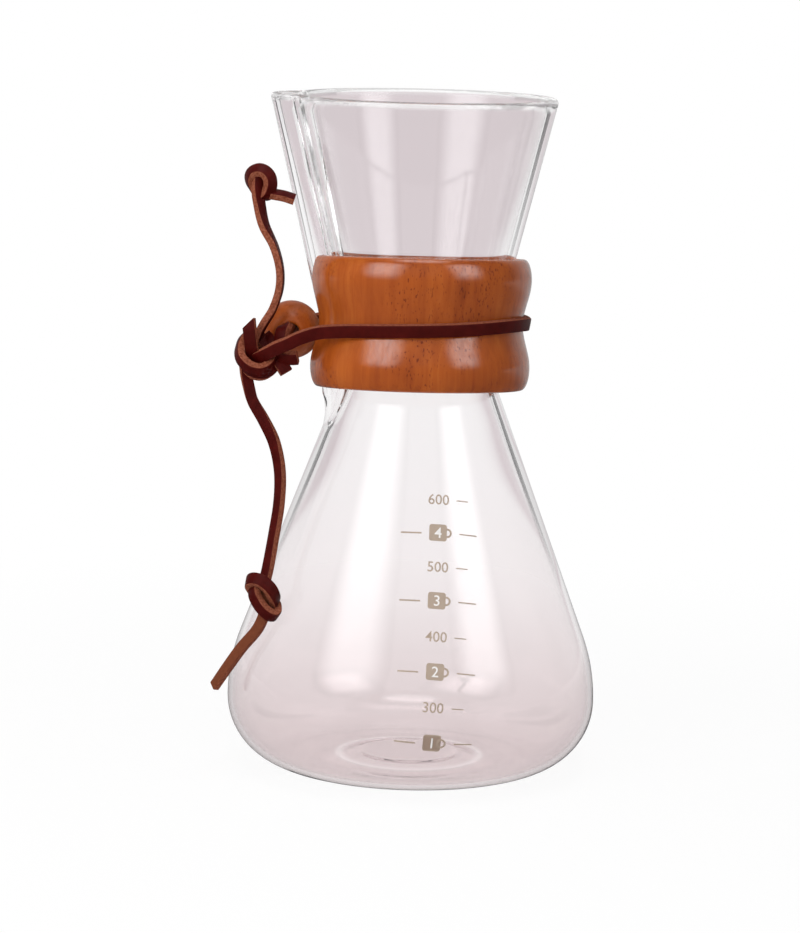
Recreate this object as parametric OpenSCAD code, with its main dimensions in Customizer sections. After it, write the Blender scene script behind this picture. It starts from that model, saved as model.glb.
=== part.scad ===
// Hourglass pour-over coffee maker: a glass carafe with a pouring channel, a two-part wooden
// collar round its waist, and a flat lace that ties the collar through a wooden bead.
// Millimetres. The origin is the centre of the base on the table, +Z is up,
// the pouring channel looks along -X and the front half of the collar along -Y.

/* [Glass] */
// Height from the table to the top of the rim
glass_h = 220; // [205:1:240]
// Widest radius of the lower bowl
body_r = 60.5; // [54:0.5:68]
// Radius of the round heel between the base and the widest ring
heel_r = 22; // [16:0.5:26]
// Radius of the round shoulder between the widest ring and the lower cone
shoulder_r = 60; // [45:1:75]
// Half angle of the lower cone
cone_angle = 20.6; // [18:0.1:23]
// Half angle of the funnel
funnel_angle = 13.6; // [11:0.1:16]
// Outer radius of the waist
neck_r = 24.3; // [21:0.1:28]
// Radius of the round between the two cones
neck_round = 40; // [30:1:55]
// Thickness of the glass
glass_wall = 3; // [2.2:0.1:3.8]
// Radius of the raised middle of the base
punt_r = 24; // [16:0.5:30]
// Height of the raised middle of the base
punt_h = 2.5; // [1:0.1:4]

/* [Pouring channel] */
// How far the ridge of the channel stands out of the funnel
spout_out = 6.8; // [5:0.1:9]
// Radius of the channel at the rim
spout_rim_r = 11; // [9:0.5:13]
// Radius of the channel at the waist
spout_neck_r = 7.5; // [6.5:0.1:9]
// Radius of the ball that closes the channel at its lower end
spout_end_r = 6.6; // [6:0.1:7.4]
// Thickness of the glass in the channel
spout_wall = 2.4; // [1.8:0.1:3]
// Height above the waist where the channel bends
spout_bend = 5.5; // [3:0.5:9]
// Depth of that ball's middle below the waist
spout_drop = 14.5; // [12:0.5:16]

/* [Collar] */
// Height of the wooden collar
collar_h = 42.5; // [36:0.5:50]
// How far the collar reaches below the waist
collar_below = 11; // [8:0.5:14]
// Thickness of the wood at the groove for the lace
collar_wall = 7.1; // [5:0.1:10]
// How far the collar's two swells stand out of the groove
collar_swell = 2.7; // [1.5:0.1:4]
// Radius of the collar's rounded edges
collar_edge = 5; // [3:0.1:6.5]
// Clearance between the wood and the glass
collar_fit = 0.3; // [0.2:0.05:0.6]
// Gap between the halves on the side away from the channel
split_gap = 1.2; // [0.6:0.1:3]
// Gap between the halves where the channel stands out
spout_gap = 16; // [13:0.5:20]

/* [Bead] */
// Diameter of the wooden bead
bead_d = 19; // [16:0.5:22]
// Diameter of the hole through the bead
bead_bore = 5.8; // [5.2:0.1:7]
// How far the bead sits below the groove
bead_drop = 3.8; // [2:0.1:6]
// Clearance between the bead and the channel
bead_fit = 0.3; // [0.2:0.05:0.6]

/* [Lace] */
// Width of the flat lace
lace_w = 4.2; // [3:0.1:4.8]
// Thickness of the flat lace
lace_t = 2.2; // [1.4:0.1:2.6]
// Clearance between the lace and the wood
lace_fit = 0.3; // [0.25:0.05:0.6]
// Diameter of the knot that closes the tie
tie_knot_d = 13; // [11:0.5:14.5]
// Diameter of the knots near the free ends
end_knot_d = 9; // [8:0.5:10]

/* [Hidden] */
$fn = 96;

glass_colour = [0.86, 0.88, 0.89, 0.4];
wood_colour = [0.60, 0.31, 0.12];
lace_colour = [0.26, 0.08, 0.06];
over = 1; // a cutting solid stands this far past what it cuts

// Points along a circular arc in the r-z plane.
function arc(centre, radius, from, to, steps) =
    [for (i = [0:steps]) let (a = from + (to - from) * i / steps) centre + radius * [cos(a), sin(a)]];

// The carafe's own lines: two cones joined by a round at the waist.
shoulder_end = [
    body_r - shoulder_r * (1 - cos(cone_angle)),
    heel_r + shoulder_r * sin(cone_angle),
];
cone_top_r = neck_r + neck_round * (1 - cos(cone_angle));
cone_top_z = shoulder_end[1] + (shoulder_end[0] - cone_top_r) / tan(cone_angle);
neck_z = cone_top_z + neck_round * sin(cone_angle);
funnel_start = [
    neck_r + neck_round * (1 - cos(funnel_angle)),
    neck_z + neck_round * sin(funnel_angle),
];
function funnel_r(z) = funnel_start[0] + (z - funnel_start[1]) * tan(funnel_angle);

// The waist as seen by a skin that lies `grow` outside the glass.
function waist_line(grow) = arc(
    [neck_r + neck_round, neck_z], neck_round - grow, 180 + cone_angle, 180 - funnel_angle, 12);
// The bowl from the base to the start of the cone, `grow` outside the glass.
function bowl_line(grow) = concat(
    arc([body_r - heel_r, heel_r], heel_r + grow, -90, 0, 12),
    arc([body_r - shoulder_r, heel_r], shoulder_r + grow, 0, cone_angle, 6));
// The round lip, from outside the funnel over the top to the inside.
lip_r = glass_wall / 2;
lip_z = glass_h - lip_r;
lip = [funnel_r(lip_z) - lip_r / cos(funnel_angle), lip_z];

// Outer skin of the glass, filled.
module glass_outside() {
    rotate_extrude() polygon(concat(
        [[0, punt_h], [punt_r - 2 * punt_h, punt_h], [punt_r, 0]],
        bowl_line(0), waist_line(0), arc(lip, lip_r, -funnel_angle, 90, 5),
        [[0, glass_h]]));
}

// Inner skin of the glass, filled and open upwards.
module glass_inside() {
    rotate_extrude() polygon(concat(
        [[0, glass_wall + punt_h], [punt_r - 2 * punt_h, glass_wall + punt_h], [punt_r, glass_wall]],
        bowl_line(-glass_wall), waist_line(-glass_wall),
        arc(lip, lip_r, 180 - funnel_angle, 90, 5),
        [[lip[0], glass_h + over], [0, glass_h + over]]));
}

// The pouring channel: a long taper that leans with the funnel, an upright foot that leaves the
// taper at the waist, and a ball that closes the foot.
spout_bend_z = neck_z + spout_bend;
waist_at_bend = neck_r + neck_round - sqrt(neck_round * neck_round - spout_bend * spout_bend);
spout_ridge_bend = waist_at_bend + spout_out;
spout_low = [-(neck_r + spout_out - spout_end_r), 0, neck_z - spout_drop];
spout_mid = [-(spout_ridge_bend - spout_neck_r), 0, spout_bend_z];
spout_high = [-(funnel_r(glass_h) + spout_out - spout_rim_r), 0, glass_h];
spout_slope = (funnel_r(glass_h) - waist_at_bend) / (glass_h - spout_bend_z);
spout_foot_r = spout_end_r - 1.4;
spout_foot_in = 0.6; // the foot's ridge stands this far inside the ball's
spout_foot_h = 33;

// A cone between two points, with a given radius at each.
module taper(a, b, ra, rb) {
    along = b - a;
    lean = atan2(norm([along[0], along[1]]), along[2]);
    turn = atan2(along[1], along[0]);
    translate(a) rotate([0, lean, turn]) cylinder(h = norm(along), r1 = ra, r2 = rb);
}

// Middle and radius of the long taper at height z.
function spout_rise(z) = (z - spout_bend_z) / (glass_h - spout_bend_z);
function spout_at(z) = spout_mid + (spout_high - spout_mid) * spout_rise(z);
function spout_r(z) = spout_neck_r + (spout_rim_r - spout_neck_r) * spout_rise(z);

// The channel as a filled form, `grow` outside its own skin, carried past the rim and into the neck.
module spout_form(grow) {
    from = spout_low[2] - spout_end_r / 2;
    to = glass_h + 4 * over;
    taper(spout_at(from), spout_at(to), spout_r(from) + grow, spout_r(to) + grow);
    translate(spout_low + [spout_foot_in + spout_foot_r - spout_end_r, 0, 0])
        cylinder(h = spout_foot_h, r = spout_foot_r + grow);
    translate(spout_low) sphere(spout_end_r + grow);
}

module glass_carafe() {
    color(glass_colour) difference() {
        union() {
            glass_outside();
            difference() {
                spout_form(0);
                translate([-2 * body_r, -body_r, glass_h]) cube([2 * body_r, 2 * body_r, glass_h]);
            }
        }
        glass_inside();
        spout_form(-spout_wall);
    }
}

// The collar's outline: rounded edges, two swells and a hollow groove between them.
collar_z = neck_z - collar_below;
tie_z = collar_z + collar_h / 2;
function waist_skin_r(z) = z < funnel_start[1]
    ? neck_r + neck_round - sqrt(neck_round * neck_round - (z - neck_z) * (z - neck_z))
    : funnel_r(z);
groove_r = waist_skin_r(tie_z) + collar_fit + collar_wall;
collar_r = groove_r + collar_swell;
swell_rise = collar_h / 2 - collar_edge;
groove_round = (swell_rise * swell_rise + collar_swell * collar_swell) / (2 * collar_swell) - collar_edge;
groove_turn = asin(swell_rise / (groove_round + collar_edge));

module collar_ring() {
    difference() {
        rotate_extrude() polygon(concat(
            [[0, collar_z]],
            arc([collar_r - collar_edge, collar_z + collar_edge], collar_edge, -90, groove_turn, 8),
            arc([groove_r + groove_round, tie_z], groove_round, 180 + groove_turn, 180 - groove_turn, 12),
            arc([collar_r - collar_edge, tie_z + swell_rise], collar_edge, -groove_turn, 90, 8),
            [[0, collar_z + collar_h]]));
        rotate_extrude() polygon(concat(
            [[0, cone_top_z - collar_h]],
            [[cone_top_r + collar_h * tan(cone_angle), cone_top_z - collar_h]],
            waist_line(collar_fit),
            [[funnel_r(glass_h) + collar_fit / cos(funnel_angle), glass_h], [0, glass_h]]));
    }
}

// The front half; its ends stop short of the middle plane and clear the channel.
module collar_half() {
    difference() {
        collar_ring();
        translate([-2 * collar_r, -split_gap / 2, collar_z - over])
            cube([4 * collar_r, 2 * collar_r, collar_h + 2 * over]);
        translate([-2 * collar_r, -spout_gap / 2, collar_z - over])
            cube([2 * collar_r, 2 * collar_r, collar_h + 2 * over]);
        spout_form(collar_fit);
    }
}

module collar_front_half() {
    color(wood_colour) collar_half();
}

module collar_rear_half() {
    color(wood_colour) mirror([0, 1, 0]) collar_half();
}

// The bead rests on the ridge of the channel, with its hole running front to back.
bead_r = bead_d / 2;
bead_z = tie_z - bead_drop;
bead_at = [
    -(spout_ridge_bend + (bead_z - spout_bend_z) * spout_slope
        + (bead_r + bead_fit) * norm([1, spout_slope])),
    0,
    bead_z,
];

module bead() {
    color(wood_colour) translate(bead_at) difference() {
        sphere(bead_r);
        rotate([90, 0, 0]) cylinder(h = 2 * bead_d, d = bead_bore, center = true);
    }
}

// A lace is a flat strip with its corners cut off, swept along a route.
lace_corner = 0.4;
lace_section = let (w = lace_w / 2, t = lace_t / 2, c = lace_corner) [
    [w, c - t], [w, t - c], [w - c, t], [c - w, t],
    [-w, t - c], [-w, c - t], [c - w, -t], [w - c, -t],
];
function unit(v) = v / norm(v);
function heading(route, i) =
    unit(route[min(i + 1, len(route) - 1)] - route[max(i - 1, 0)]);
function lace_ring(route, i, face) = let (
    along = heading(route, i),
    across = unit(cross(face, along)),
    out = cross(along, across)
) [for (p = lace_section) route[i] + p[0] * across + p[1] * out];

// Sweep the strip along `route`; faces[i] is the way its broad side looks at point i.
module lace(route, faces) {
    sides = len(lace_section);
    last = len(route) - 1;
    points = [for (i = [0:last]) each lace_ring(route, i, faces[i])];
    skin = [for (i = [0:last - 1], j = [0:sides - 1]) let (
        a = i * sides + j,
        b = i * sides + (j + 1) % sides
    ) each [[a, b + sides, b], [a, a + sides, b + sides]]];
    caps = [for (j = [1:sides - 2]) each [
        [0, j, j + 1],
        [last * sides, last * sides + j + 1, last * sides + j],
    ]];
    color(lace_colour) polyhedron(points, concat(skin, caps));
}

// The same broad-side direction all along a route.
function faces_from(route, first, last) =
    [for (i = [0:len(route) - 1]) first + (last - first) * i / (len(route) - 1)];

// Where a strand that comes from `from` enters a knot.
function knot_side(at, size, from) = at + unit(from - at) * (size - lace_t) * 0.42;

// The tie runs round the groove, then straight off it at a tangent to the knot or the bead.
lace_r = groove_r + lace_fit + lace_t / 2;
arc_step = 7.5;
tie_knot_at = bead_at + bead_r * [-0.86, -1.47, -0.74];
bead_back = bead_at + [0, bead_r + lace_w, 0];
bead_front = bead_at + [0, -bead_r - lace_t, 0];

function plan_angle(p) = atan2(abs(p[1]), -p[0]);
function leave_angle(p) = 180 - plan_angle(p) - acos(lace_r / norm([p[0], p[1]]));
function groove_route(side, to) = let (n = ceil(leave_angle(to) / arc_step)) [
    for (i = [0:n]) let (a = leave_angle(to) * i / n) [lace_r * cos(a), side * lace_r * sin(a), tie_z]];
function tie_route(side, to) = let (around = groove_route(side, to), off = around[len(around) - 1])
    concat(around, [for (t = [1:4]) off + (to - off) * t / 4]);
// On the groove the broad side looks straight out, and it keeps looking that way up to the end.
function tie_faces(side, to) = let (a = leave_angle(to)) [
    for (p = tie_route(side, to)) let (b = min(a, atan2(side * p[1], p[0]))) [cos(b), side * sin(b), 0]];
tie_front_end = knot_side(tie_knot_at, tie_knot_d, [0, -groove_r, tie_z]);

module tie_front_run() {
    lace(tie_route(-1, tie_front_end), tie_faces(-1, tie_front_end));
}

module tie_rear_run() {
    lace(tie_route(1, bead_back), tie_faces(1, bead_back));
}

module bead_strand() {
    knot_end = knot_side(tie_knot_at, tie_knot_d, bead_front);
    route = [bead_back, bead_at + [0, bead_r, 0], bead_at, bead_at - [0, bead_r, 0], bead_front, knot_end];
    lace(route, faces_from(route, [-1, 0, 0.4], [-1, 0, 0.4]));
}

// A knot is a core wound with two turns of the lace.
module knot_form(size) {
    color(lace_colour) {
        sphere(d = size - lace_t);
        for (turn = [[90, 0, 25], [55, 70, 0]])
            rotate(turn) rotate_extrude()
                translate([size / 2 - lace_t, -lace_w / 2]) square([lace_t, lace_w]);
    }
}

module tie_knot() {
    translate(tie_knot_at) knot_form(tie_knot_d);
}

// Short cut ends that stand out of the tie's knot.
module cut_end(to, face) {
    route = [knot_side(tie_knot_at, tie_knot_d, to), to];
    lace(route, [face, face]);
}

module tie_upper_stub() {
    cut_end(tie_knot_at + [-5.5, -3, 10], [-0.3, -1, 0]);
}

module tie_lower_stub() {
    cut_end(tie_knot_at + [8.5, -1, -6], [0.2, -1, 0.2]);
}

// Free tails of the lace, as they stand and hang beside the glass: steps from the knot they leave.
upper_tail_steps = [
    [-0.3, 1.5, 8], [2.5, 1.5, 15], [4.5, 1.5, 21.5], [4.5, 2, 28], [2.5, 3, 35], [-1, 4, 42], [-2.5, 4.5, 49],
];
upper_knot_step = [-2, 5, 55];
upper_end_steps = [[4.5, 0, -2], [8, 0, -4], [10.5, 0, -6]];
lower_tail_steps = [
    [-4.5, 0, -8], [-3.5, -1, -14.5], [0.5, -2, -21], [4, -3, -28], [6, -4.5, -37], [6, -6.5, -47],
    [4.5, -9, -58], [3, -12, -68],
];
lower_knot_step = [2, -15.5, -78];
lower_end_steps = [[-2, 1.5, -8], [-7, 4.5, -16], [-11.5, 7.5, -23], [-16, 11.5, -30.5]];

upper_knot_at = tie_knot_at + upper_knot_step;
lower_knot_at = tie_knot_at + lower_knot_step;
function tail_route(steps, knot_at) = let (points = [for (s = steps) tie_knot_at + s]) concat(
    [knot_side(tie_knot_at, tie_knot_d, points[0])], points,
    [knot_side(knot_at, end_knot_d, points[len(points) - 1])]);
function end_route(steps, knot_at) = let (points = [for (s = steps) knot_at + s]) concat(
    [knot_side(knot_at, end_knot_d, points[0])], points);

module upper_tail() {
    route = tail_route(upper_tail_steps, upper_knot_at);
    lace(route, faces_from(route, [0, -1, 0], [-1, -0.6, 0]));
}

module upper_tail_knot() {
    translate(upper_knot_at) knot_form(end_knot_d);
}

module upper_tail_end() {
    route = end_route(upper_end_steps, upper_knot_at);
    lace(route, faces_from(route, [0, -1, 0.3], [0, -1, 0.3]));
}

module lower_tail() {
    route = tail_route(lower_tail_steps, lower_knot_at);
    lace(route, faces_from(route, [0, -1, 0], [-0.5, -1, 0]));
}

// The lower knot is a longer one, wound twice.
module lower_tail_knot() {
    for (side = [-1, 1])
        translate(lower_knot_at + side * [0, 0, lace_w / 2]) rotate([0, 0, 90 * side]) knot_form(end_knot_d);
}

module lower_tail_end() {
    route = end_route(lower_end_steps, lower_knot_at);
    lace(route, faces_from(route, [-0.5, -1, 0.2], [-0.5, -1, 0.5]));
}

glass_carafe();
collar_front_half();
collar_rear_half();
bead();
tie_front_run();
tie_rear_run();
bead_strand();
tie_knot();
tie_upper_stub();
tie_lower_stub();
upper_tail();
upper_tail_knot();
upper_tail_end();
lower_tail();
lower_tail_knot();
lower_tail_end();
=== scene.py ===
# %% [markdown]
# # A pour-over coffee maker, dressed for its portrait
# The solids of this coffee maker come from a CAD file and stay where they are. This lesson gives them
# their looks: clear glass, a varnished wooden collar, and a flat leather lace with its knots.
# Everything is in metres. The table is at Z = 0, the pouring channel looks along -X, and the camera
# looks along +Y.

# %% Load the frame
import math

import bmesh
import bpy
from mathutils import Matrix, Vector
from mathutils.geometry import interpolate_bezier


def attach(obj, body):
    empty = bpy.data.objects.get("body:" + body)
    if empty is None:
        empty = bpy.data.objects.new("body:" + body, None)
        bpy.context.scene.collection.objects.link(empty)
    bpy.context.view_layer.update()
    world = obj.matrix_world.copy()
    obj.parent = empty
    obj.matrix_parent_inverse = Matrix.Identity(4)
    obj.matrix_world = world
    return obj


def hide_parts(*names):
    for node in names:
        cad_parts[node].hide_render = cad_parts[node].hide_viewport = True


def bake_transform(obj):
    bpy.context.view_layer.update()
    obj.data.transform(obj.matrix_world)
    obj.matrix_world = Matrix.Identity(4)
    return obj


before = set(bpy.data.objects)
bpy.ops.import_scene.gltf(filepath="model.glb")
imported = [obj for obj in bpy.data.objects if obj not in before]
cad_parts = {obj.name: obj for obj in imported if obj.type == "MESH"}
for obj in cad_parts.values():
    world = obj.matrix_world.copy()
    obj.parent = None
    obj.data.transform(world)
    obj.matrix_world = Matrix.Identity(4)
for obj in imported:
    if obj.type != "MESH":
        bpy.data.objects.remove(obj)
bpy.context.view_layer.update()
MM = 0.001
scene = bpy.context.scene
scene.view_settings.view_transform = "Standard"
GLASS_BOUNCES, MIRROR_BOUNCES = 48, 32
scene.cycles.max_bounces = GLASS_BOUNCES
scene.cycles.transmission_bounces = GLASS_BOUNCES
scene.cycles.glossy_bounces = MIRROR_BOUNCES

# %% [markdown]
# ## The camera
# The camera stands a little above the rim, about an arm's length and a half away, and is held slightly
# askew, so the carafe leans to the right in the picture. Its direction could be set with angles, but
# writing down where right, up and ahead point gives the same picture with nothing hidden.

# %% Camera
CAMERA_AT = Vector((0.0, -1.150, 0.2825))
TURN, TILT, ROLL = -0.0046, 0.1586, 0.0248
FOCAL_PIXELS, PICTURE_HEIGHT = 3550, 933

ahead = Vector((math.sin(TURN) * math.cos(TILT), math.cos(TURN) * math.cos(TILT), -math.sin(TILT)))
level = Vector((math.cos(TURN), -math.sin(TURN), 0))
above = level.cross(ahead)
right = level * math.cos(ROLL) + above * math.sin(ROLL)
up = above * math.cos(ROLL) - level * math.sin(ROLL)

camera = bpy.data.objects.new("camera", bpy.data.cameras.new("camera"))
scene.collection.objects.link(camera)
camera.data.sensor_width = 36
camera.data.lens = FOCAL_PIXELS * camera.data.sensor_width / PICTURE_HEIGHT
camera.matrix_world = Matrix.Translation(CAMERA_AT) @ Matrix((right, up, -ahead)).transposed().to_4x4()
scene.camera = camera
print("camera: lens", round(camera.data.lens, 1), "mm")

# %% [markdown]
# ## A small language for finishes
# Every finish here is a node tree. Wiring it by hand takes many lines, so two small classes help.
# `Wire` stands for one output and understands + - * /, each of which adds a Math node. `Finish` makes a
# material and has one method, `node`, for every other kind of node: settings first, then sockets.


# %% Shader helpers
class Wire:
    """One output of a shader node. Arithmetic on it adds Math nodes."""

    def __init__(self, finish, socket):
        self.finish, self.socket = finish, socket

    def _maths(self, operation, *values):
        return self.finish.node("ShaderNodeMath", {"operation": operation}, dict(enumerate(values)))

    def __add__(self, other):
        return self._maths("ADD", self, other)

    def __radd__(self, other):
        return self._maths("ADD", other, self)

    def __sub__(self, other):
        return self._maths("SUBTRACT", self, other)

    def __rsub__(self, other):
        return self._maths("SUBTRACT", other, self)

    def __mul__(self, other):
        return self._maths("MULTIPLY", self, other)

    def __rmul__(self, other):
        return self._maths("MULTIPLY", other, self)

    def __truediv__(self, other):
        return self._maths("DIVIDE", self, other)

    def __rtruediv__(self, other):
        return self._maths("DIVIDE", other, self)

    def most(self, other):
        return self._maths("MAXIMUM", self, other)

    def size(self):
        return self._maths("ABSOLUTE", self)


class Finish:
    """A material with a Principled shader, or the world, and a short way to add nodes to it."""

    def __init__(self, name, owner=None):
        self.data = owner or bpy.data.materials.new(name)
        self.data.use_nodes = True
        self.tree = self.data.node_tree
        self.tree.nodes.clear()

    def node(self, kind, settings=None, sockets=None, out=0):
        made = self.tree.nodes.new(kind)
        for name, value in (settings or {}).items():
            if name == "stops":
                ramp = made.color_ramp
                while len(ramp.elements) < len(value):
                    ramp.elements.new(0.5)
                for element, (place, colour) in zip(ramp.elements, value):
                    element.position, element.color = place, (*colour, 1)
            else:
                setattr(made, name, value)
        for name, value in (sockets or {}).items():
            if isinstance(value, Wire):
                self.tree.links.new(value.socket, made.inputs[name])
            else:
                made.inputs[name].default_value = value
        return Wire(self, made.outputs[out]) if made.outputs else None

    def place(self, scale=(1, 1, 1)):
        """Object coordinates through a Mapping node."""
        spot = self.node("ShaderNodeTexCoord", out="Object")
        return self.node("ShaderNodeMapping", {}, {"Vector": spot, "Scale": scale})

    def noise(self, vector, scale, detail=3.0, rough=0.5, distortion=0.0):
        return self.node("ShaderNodeTexNoise", {"noise_dimensions": "3D"}, {
            "Vector": vector, "Scale": scale, "Detail": detail, "Roughness": rough,
            "Distortion": distortion})

    def ramp(self, value, stops):
        return self.node("ShaderNodeValToRGB", {"stops": stops}, {"Fac": value})

    def step(self, value, low, high):
        """0 below low, 1 above high, smooth between."""
        return self.node("ShaderNodeMapRange", {"interpolation_type": "SMOOTHSTEP"}, {
            "Value": value, "From Min": low, "From Max": high})

    def mix(self, share, one, other):
        """Two colours mixed by share."""
        return self.node("ShaderNodeMix", {"data_type": "RGBA"}, {0: share, 6: one, 7: other}, out=2)

    def bump(self, height, distance, strength):
        return self.node("ShaderNodeBump", {}, {
            "Height": height, "Distance": distance, "Strength": strength})

    def ray(self, kind):
        """1 where the ray that looks is of this kind."""
        return self.node("ShaderNodeLightPath", out=f"Is {kind} Ray")

    def attribute(self, name):
        return self.node("ShaderNodeAttribute", {"attribute_name": name}, out="Fac")

    def done(self, **sockets):
        """The Principled shader and the material's output."""
        named = {key.replace("_", " "): value for key, value in sockets.items()}
        shader = self.node("ShaderNodeBsdfPrincipled", {}, named)
        self.node("ShaderNodeOutputMaterial", {}, {"Surface": shader})
        return self.data


def tone(red, green, blue):
    """A colour read off a screen, 0 to 255, as the linear colour that a shader takes."""
    return tuple((c / 12.92 if c <= 0.04045 else ((c + 0.055) / 1.055) ** 2.4)
                 for c in (red / 255, green / 255, blue / 255))


print("shader helpers ready")

# %% [markdown]
# ## The leather of the lace
# The lace is cut from a hide that was dyed dark on its smooth side. The side that was against the animal
# stays a rougher brown, and the cut edges show pale fibres. A strip's own attribute, `skin`, says which of
# the three a point belongs to: 1 on the smooth side, 0 on a cut edge and -1 on the rough side.

# %% Leather finish
leather = Finish("lace_leather")
skin = leather.attribute("skin")
here = leather.place()
fibres = leather.noise(here, 1500, 3, 0.6)
patches = leather.noise(here, 300, 3, 0.55)
ragged = skin + (fibres - 0.5) * 0.35
smooth_side = leather.step(ragged, 0.5, 0.72)
rough_side = leather.step(0 - ragged, 0.5, 0.72)
dark_wax = leather.mix(patches, (*tone(50, 3, 2), 1), (*tone(82, 13, 8), 1))
brown_nap = leather.mix(fibres, (*tone(92, 46, 28), 1), (*tone(126, 70, 46), 1))
pale_cut = leather.mix(leather.step(fibres, 0.3, 0.75), (*tone(112, 56, 37), 1), (*tone(152, 90, 68), 1))
leather_colour = leather.mix(rough_side, leather.mix(smooth_side, pale_cut, dark_wax), brown_nap)
leather_rough = 0.7 - smooth_side * 0.22 + (patches - 0.5) * 0.2
leather_relief = leather.bump(fibres * 0.5 + patches * 0.5, 0.0001, 0.4)
lace_leather = leather.done(Base_Color=leather_colour, Roughness=leather_rough, Normal=leather_relief,
                            Specular_IOR_Level=0.08)
print("finish:", lace_leather.name)

# %% [markdown]
# ## A strip of lace along a line
# A lace is a flat bar with soft corners that follows a line and twists on the way. A curve with a bevel
# could do it, but then the twist is hard to steer. So one cap face is pushed along the line with the
# extrude operator, ring after ring, and each ring is set across the line with its broad side looking
# where it is told. The cap at either end is a fresh cut, so its points belong to the cut edge.

# %% Strip helpers
LACE_WIDE, LACE_THICK, LACE_CORNER = 4.2 * MM, 2.6 * MM, 0.4 * MM
RING_GAP = 0.7 * MM
NICK, CUT_SHRINK = 0.06 * MM, 0.95


def strip_section():
    """(across, out, skin) round the strip: four soft corners and the middle of each broad side."""
    spots = []
    for start in (0, 90, 180, 270):
        side_x = 1 if start in (0, 270) else -1
        side_z = 1 if start < 180 else -1
        for turn in (0, 30, 60, 90):
            a = math.radians(start + turn)
            spots.append((side_x * (LACE_WIDE / 2 - LACE_CORNER) + LACE_CORNER * math.cos(a),
                          side_z * (LACE_THICK / 2 - LACE_CORNER) + LACE_CORNER * math.sin(a),
                          math.sin(a)))
        if start in (0, 180):
            spots.append((0.0, side_z * LACE_THICK * 0.51, float(side_z)))
    return spots


SECTION = strip_section()


def flowing_line(points):
    """A smooth line through points given in millimetres."""
    through = [Vector(p) * MM for p in points]
    padded = [2 * through[0] - through[1], *through, 2 * through[-1] - through[-2]]
    line = []
    for before, here_, there, after in zip(padded, padded[1:], padded[2:], padded[3:]):
        count = max(3, round((there - here_).length / RING_GAP) + 1)
        leave, arrive = here_ + (there - before) / 6, there - (after - here_) / 6
        line += interpolate_bezier(here_, leave, arrive, there, count)[:-1]
    return [*line, through[-1]]


def look_at_share(looks, share):
    """The broad side's direction at a share of the way, from looks spread evenly along it."""
    spot = share * (len(looks) - 1)
    i = min(int(spot), len(looks) - 2)
    return Vector(looks[i]).lerp(Vector(looks[i + 1]), spot - i)


def add_strip(bm, points, looks, size=1.0, slant=0.0, part=(0.0, 1.0)):
    """Extrude a strip along points, or along a part of their line, into bm. Returns the whole middle line.

    slant is how far the far end's cut leans. An end inside the line isn't a cut: another strip goes on there.
    """
    spot = bm.verts.layers.int.get("spot") or bm.verts.layers.int.new("spot")
    skin_layer = bm.verts.layers.float.get("skin") or bm.verts.layers.float.new("skin")
    line = flowing_line(points)
    lengths = [0.0]
    for a, b in zip(line, line[1:]):
        lengths.append(lengths[-1] + (b - a).length)
    first, last = (round(share * (len(line) - 1)) for share in part)
    cut_first, cut_last = first == 0, last == len(line) - 1
    corners = [bm.verts.new() for _ in SECTION]
    for i, corner in enumerate(corners):
        corner[spot] = i
    cap = bm.faces.new(corners)

    def set_ring(i, cut, slide=0.0, grow=1.0):
        ahead_ = (line[min(i + 1, len(line) - 1)] - line[max(i - 1, 0)]).normalized()
        across = look_at_share(looks, lengths[i] / lengths[-1]).cross(ahead_).normalized()
        out = ahead_.cross(across)
        for v in cap.verts:
            x, z, side = SECTION[v[spot]]
            slide_here = slide + x * slant * max(0, 1 - (len(line) - 1 - i) / 4)
            v.co = line[i] + ahead_ * slide_here + (across * x + out * z) * grow * size
            v[skin_layer] = 0.0 if cut else side

    def push(keep=False):
        grown = bmesh.ops.extrude_face_region(bm, geom=[cap])["geom"]
        if cap.is_valid and not keep:
            bm.faces.remove(cap)
        return next(f for f in grown if isinstance(f, bmesh.types.BMFace))

    set_ring(first, cut_first, -NICK, CUT_SHRINK)
    cap = push(keep=True)
    set_ring(first, cut_first)
    for i in range(first, last + 1):
        cap = push()
        set_ring(i, False, NICK / 4 if i == first else 0.0)
    cap = push()
    set_ring(last, cut_last, NICK / 4)
    cap = push()
    set_ring(last, cut_last, NICK * 1.25, CUT_SHRINK)
    return line


def new_piece(name, bm, finish):
    """A shown object from a finished bmesh."""
    mesh = bpy.data.meshes.new(name)
    bm.to_mesh(mesh)
    bm.free()
    for face in mesh.polygons:
        face.use_smooth = True
    mesh.materials.append(finish)
    piece = bpy.data.objects.new(name, mesh)
    scene.collection.objects.link(piece)
    return piece


def lace_piece(name, *strips):
    """One object from strips, each what add_strip takes after bm, and the middle line of the first."""
    bm = bmesh.new()
    lines = [add_strip(bm, *strip) for strip in strips]
    bmesh.ops.recalc_face_normals(bm, faces=bm.faces)
    return new_piece(name, bm, lace_leather), lines[0]


def line_length(line):
    return sum((b - a).length for a, b in zip(line, line[1:]))


print("strip section:", len(SECTION), "points round the lace")
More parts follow.
